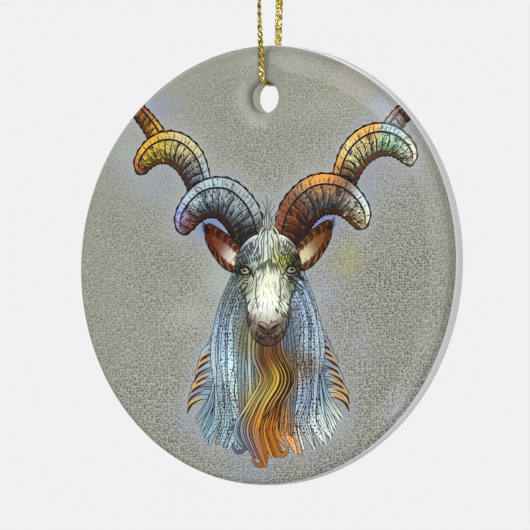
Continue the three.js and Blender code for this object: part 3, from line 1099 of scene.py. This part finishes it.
def face_profile():
    """The face's section from the centre to the rim: distance along it, radius, y and lean of the normal."""
    crown = np.linspace(0, 1, 13)
    crown_lean = FALL_LEAN * smooth_step(crown / 0.35)
    crown_r = CROWN_START + crown * (DISC_RADIUS - SHOULDER_RADIUS * (1 - math.sin(FALL_LEAN)) - CROWN_START)
    steps = np.diff(crown_r) * np.tan((crown_lean[1:] + crown_lean[:-1]) / 2)
    crown_y = FRONT_Y + np.concatenate([[0], np.cumsum(steps)])
    lean = np.linspace(FALL_LEAN, math.pi / 2, 2 * ARC_STEPS)[1:]
    arc_r = DISC_RADIUS - SHOULDER_RADIUS + SHOULDER_RADIUS * np.sin(lean)
    arc_y = crown_y[-1] + SHOULDER_RADIUS * (math.cos(FALL_LEAN) - np.cos(lean))
    r = np.concatenate([[0], crown_r, arc_r])
    y = np.concatenate([[FRONT_Y], crown_y, arc_y])
    leans = np.concatenate([[0], crown_lean, lean])
    along = np.concatenate([[0], np.cumsum(np.hypot(np.diff(r), np.diff(y)))])
    return along, r, y, leans


ALONG, PROFILE_R, PROFILE_Y, PROFILE_LEAN = face_profile()
PRINT_RING = int(np.searchsorted(PROFILE_LEAN, PRINT_EDGE_LEAN))
PRINT_END = ALONG[PRINT_RING]
HOLE_MOUTH = HOLE_RADIUS + HOLE_LIP_RADIUS
PRINT_HOLE = HOLE_MOUTH - HOLE_LIP_RADIUS * COAT_LIP_ANGLE


def on_face(flat):
    """Points and normals of the face for points of the flat print, x right and z up from the disc's centre.
    The print is rolled over the shoulder at its rim and into the lip at its hole."""
    radius = np.hypot(*flat.T)
    outward = flat / np.maximum(radius, 1e-9)[:, None]
    r, y, lean = (np.interp(radius, ALONG, axis) for axis in (PROFILE_R, PROFILE_Y, PROFILE_LEAN))
    from_hole = flat - HOLE_CENTRE
    distance = np.hypot(*from_hole.T)
    away = from_hole / np.maximum(distance, 1e-9)[:, None]
    dish = np.clip((HOLE_MOUTH + DISH_WIDTH - distance) / DISH_WIDTH, 0, 1)
    dip = np.clip((HOLE_MOUTH - distance) / HOLE_LIP_RADIUS, 0, math.pi / 2 - FALL_LEAN)
    y = y + DISH_DEPTH * dish**1.6 + HOLE_LIP_RADIUS * (1 - np.cos(dip))
    in_lip = HOLE_CENTRE + away * (HOLE_MOUTH - HOLE_LIP_RADIUS * np.sin(dip))[:, None]
    planar = np.where((distance < HOLE_MOUTH)[:, None], in_lip, outward * r[:, None])
    lip_lean = np.where(distance < HOLE_MOUTH + DISH_WIDTH, dip + FALL_LEAN * smooth_step(dish / 0.4), 0)
    normal = np.where((lip_lean > 0)[:, None], leaning(-away, lip_lean), leaning(outward, lean))
    return np.stack([planar[:, 0], y, planar[:, 1] + DISC_Z], 1), normal


def leaning(outward, lean):
    """Normals of the face that lean from the front towards directions in the disc's plane."""
    return np.stack([outward[:, 0] * np.sin(lean), -np.cos(lean), outward[:, 1] * np.sin(lean)], 1)


def triangulate(loops, shapes=(), scattered=()):
    """Constrained triangles of closed loops and filled shapes, all in millimetres.
    Gives points, triangles, and the topmost shape over each triangle or -1."""
    points, edges, polygons = [], [], []
    for outline in (*loops, *shapes):
        polygons.append(tuple(range(len(points), len(points) + len(outline))))
        points.extend(Vector(p) for p in outline)
    for ring in polygons[: len(loops)]:
        edges.extend(zip(ring, ring[1:] + ring[:1]))
    points.extend(Vector(p) for p in scattered)
    found, _, triangles, _, _, within = delaunay_2d_cdt(points, edges, polygons[len(loops) :], 0, 1e-5, True)
    top = np.array([max(shapes, default=-1) for shapes in within])
    return np.array([tuple(p) for p in found]), np.array(triangles), top


def outside_hole(points, triangles, radius):
    """True for the triangles that lie outside a circle about the hole."""
    middle = points[triangles].mean(1) - HOLE_CENTRE
    return np.hypot(*middle.T) > radius * 0.999


def face_rings():
    """Loops that hold the face's curved stretches: the crown, the shoulder and the hole's lip."""
    loops = [circle((0, 0), along, RIM_SEGMENTS) for along in ALONG[1 : PRINT_RING + 1]]
    lips = [*np.linspace(PRINT_HOLE, HOLE_MOUTH, 7), *(HOLE_MOUTH + DISH_WIDTH * np.linspace(0.25, 1, 4))]
    loops += [circle(HOLE_CENTRE, lip, HOLE_SEGMENTS) for lip in lips]
    return [loop / MM for loop in loops]


def scatter():
    """A jittered grid of points that carries the soft colours over the flat of the face."""
    random = np.random.default_rng(3)
    steps = np.arange(-CROWN_START / MM, CROWN_START / MM, SCATTER_STEP)
    grid = np.stack(np.meshgrid(steps, steps), 2).reshape(-1, 2)
    grid = grid + random.uniform(-0.3, 0.3, grid.shape) * SCATTER_STEP
    clear = np.hypot(*(grid - HOLE_CENTRE / MM).T) > HOLE_MOUTH / MM
    return grid[clear & (np.hypot(*grid.T) < CROWN_START / MM - 0.2)]


def make_print(material):
    """The print as a skin over the face, coloured at its corners, with the stipple's strength as alpha."""
    art = draw_goat()
    outlines = [outline for outline, *_ in art.shapes]
    points, triangles, top = triangulate(face_rings(), outlines, scatter())
    kept = outside_hole(points * MM, triangles, PRINT_HOLE)
    kept &= np.hypot(*points[triangles].mean(1).T) * MM < PRINT_END
    triangles, top = triangles[kept], top[kept]
    figure = KDTree(sum(len(outline) for outline in outlines))
    for i, (x, z) in enumerate(np.vstack(outlines)):
        figure.insert((x, z, 0), i)
    figure.balance()
    colours = np.zeros((len(triangles), 3, 4))
    bare = top < 0
    colours[bare] = paint_ground(points, figure)[triangles[bare]]
    for shape, (_, paint, side, stipple) in enumerate(art.shapes):
        rows = np.flatnonzero(top == shape)
        if not len(rows):
            continue
        placed = points[triangles[rows]].reshape(-1, 2)
        local = (placed - [HEAD_X, 0]) * [side, 1] if side else placed
        # The drawn colours take the same painted shade and halo.
        colours[rows, :, :3] = (paint(local, placed) * painted_shade_and_halo(placed)[:, None]).reshape(-1, 3, 3)
        colours[rows, :, 3] = stipple
    shell = Shell()
    front, normals = on_face(points * MM)
    shell.add(front, normals, [tuple(t) for t in triangles], np.clip(colours, 0, 1))
    coat = add_object("print_face", shell.mesh("print_face"), material)
    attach(coat, "disc")
    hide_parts("print_coat")


def ring_rows(centre, sections, segments):
    """Rings about a centre in the disc's plane, the last of the sections first. A section is a radius, a y
    and how far the normal leans back from facing outward."""
    around = circle((0, 0), 1, segments)
    outward = np.stack([around[:, 0], np.zeros(segments), around[:, 1]], 1)
    middle = np.array([centre[0], DISC_Z + centre[1]])
    rows = [[middle[0], y, middle[1]] + radius * outward for radius, y, _ in sections]
    normals = [outward * math.cos(lean) + np.array([0, math.sin(lean), 0]) for *_, lean in sections]
    return np.array(rows)[::-1], np.array(normals)[::-1]


def make_porcelain(material):
    """The white body: the rim past the print's edge, the back, and the wall of the hole."""
    shell = Shell()
    corner = DISC_RADIUS - BACK_EDGE_RADIUS
    quarter = np.linspace(0, math.pi / 2, ARC_STEPS)
    rim = list(zip(PROFILE_R[PRINT_RING:], PROFILE_Y[PRINT_RING:], PROFILE_LEAN[PRINT_RING:] - math.pi / 2))
    for a in quarter:
        radius = corner + BACK_EDGE_RADIUS * math.cos(a)
        rim.append((radius, BACK_Y - BACK_EDGE_RADIUS * (1 - math.sin(a)), a))
    shell.grid(*ring_rows((0, 0), rim, RIM_SEGMENTS), close_across=True)

    def lip(y, way, angles):
        """Sections of the lip between the hole's wall and the side at y, the back (1) or the front (-1)."""
        for a in angles:
            radius = HOLE_MOUTH - HOLE_LIP_RADIUS * math.cos(a)
            yield radius, y - way * HOLE_LIP_RADIUS * (1 - math.sin(a)), math.pi - way * a

    front_lip = lip(FRONT_Y + DISH_DEPTH, -1, np.linspace(0, math.pi / 2 - COAT_LIP_ANGLE, 6))
    wall = [*lip(BACK_Y, 1, quarter[::-1]), *front_lip]
    shell.grid(*ring_rows(HOLE_CENTRE, wall, HOLE_SEGMENTS), close_across=True)
    outer = circle((0, 0), corner, RIM_SEGMENTS) / MM
    inner = circle(HOLE_CENTRE, HOLE_MOUTH, HOLE_SEGMENTS) / MM
    points, triangles, _ = triangulate([outer, inner])
    points = points * MM
    kept = triangles[outside_hole(points, triangles, HOLE_MOUTH)]
    back = np.stack([points[:, 0], np.full(len(points), BACK_Y), points[:, 1] + DISC_Z], 1)
    shell.add(back, np.tile([0.0, 1.0, 0.0], (len(back), 1)), [tuple(t[::-1]) for t in kept])
    disc = add_object("porcelain", shell.mesh("porcelain"), material)
    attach(disc, "disc")
    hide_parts("porcelain_disc")


# ---- studio

FLOOR_Z = -1.4
STUDIO_RADIUS = 4.2
COVE_RADIUS = 1.2
BACKDROP_LIGHT = (0.871, 0.871, 0.871, 1)
WORLD_LIGHT = (0.2, 0.205, 0.215, 1)
# Softboxes round the disc's centre: name, azimuth and elevation in degrees, distance, width, height, watts,
# and whether the glaze mirrors it.
SOFTBOXES = (
    ("key", -50, 30, 1.7, 1.1, 1.1, 23.5, False),
    ("fill", 40, 8, 1.8, 1.1, 1.3, 16, False),
    ("low", 78, -60, 1.4, 0.9, 0.9, 11.5, False),
    ("strip", -20.5, 6, 1.8, 0.32, 1.5, 1.7, True),
    ("arch", -23, 11.5, 1.8, 0.62, 0.2, 0.55, True),
    ("top", 60, 75, 1.6, 1.0, 1.0, 15, False),
    ("back", 205, 20, 1.9, 1.2, 1.2, 44, False),
)
# Small bright boxes that only the metallic cord is lit by.
FOIL_LIGHTS = (
    ("foil_left", -30, 26, 1.5, 0.3, 0.4, 7, True),
    ("foil_right", 75, 32, 1.5, 0.3, 0.4, 9, True),
    ("foil_front", 14, -24, 1.5, 0.2, 0.3, 4.5, True),
    ("foil_back", 190, 30, 1.5, 0.3, 0.4, 8, True),
)


def add_studio():
    """A pale floor that sweeps up into a dome, softboxes, and a dim room for the glaze to reflect."""
    scene = bpy.context.scene
    scene.view_settings.view_transform = "Standard"
    world = bpy.data.worlds.new("studio")
    scene.world = world
    world.use_nodes = True
    world.node_tree.nodes["Background"].inputs["Color"].default_value = WORLD_LIGHT
    floor = [(0.01, FLOOR_Z), (STUDIO_RADIUS - COVE_RADIUS, FLOOR_Z)]
    cove = np.linspace(0.1, math.pi / 2, 10)[:, None]
    cove = [STUDIO_RADIUS, FLOOR_Z] + COVE_RADIUS * np.hstack([np.sin(cove) - 1, 1 - np.cos(cove)])
    dome = np.linspace(0.1, math.pi / 2, 16)[:, None]
    dome = [0.01, FLOOR_Z + COVE_RADIUS] + STUDIO_RADIUS * np.hstack([np.cos(dome), np.sin(dome)])
    profile = np.vstack([floor, cove, dome])
    around = np.column_stack([circle((0, 0), 1, 64), np.zeros(64)])
    rows = profile[:, None, :1] * around + np.array([0, 0, 1]) * profile[:, None, 1:]
    shell = Shell()
    shell.grid(rows, np.broadcast_to(-around, rows.shape), close_across=True)
    studio = add_object("studio_sweep", shell.mesh("studio_sweep"), backdrop())
    studio.visible_glossy = studio.visible_diffuse = studio.visible_shadow = False
    foil = bpy.data.collections.new("foil_lit")
    for piece in scene.objects:
        if piece.name.startswith("cord_"):
            foil.objects.link(piece)
    for name, azimuth, elevation, distance, width, height, watts, mirrored in SOFTBOXES + FOIL_LIGHTS:
        out = direction(math.radians(azimuth), math.radians(elevation))
        data = bpy.data.lights.new(name, "AREA")
        data.shape = "RECTANGLE"
        data.size, data.size_y = width, height
        data.energy = watts
        light = bpy.data.objects.new(name, data)
        light.rotation_euler = out.to_track_quat("Z", "Y").to_euler()
        light.location = Vector((0, 0, DISC_Z)) + out * distance
        light.visible_camera = False
        light.visible_glossy = mirrored
        if name.startswith("foil"):
            light.light_linking.receiver_collection = foil
        scene.collection.objects.link(light)


add_camera()
make_cord(gold_cord())
make_porcelain(white_glaze())
make_print(printed_glaze())
add_studio()
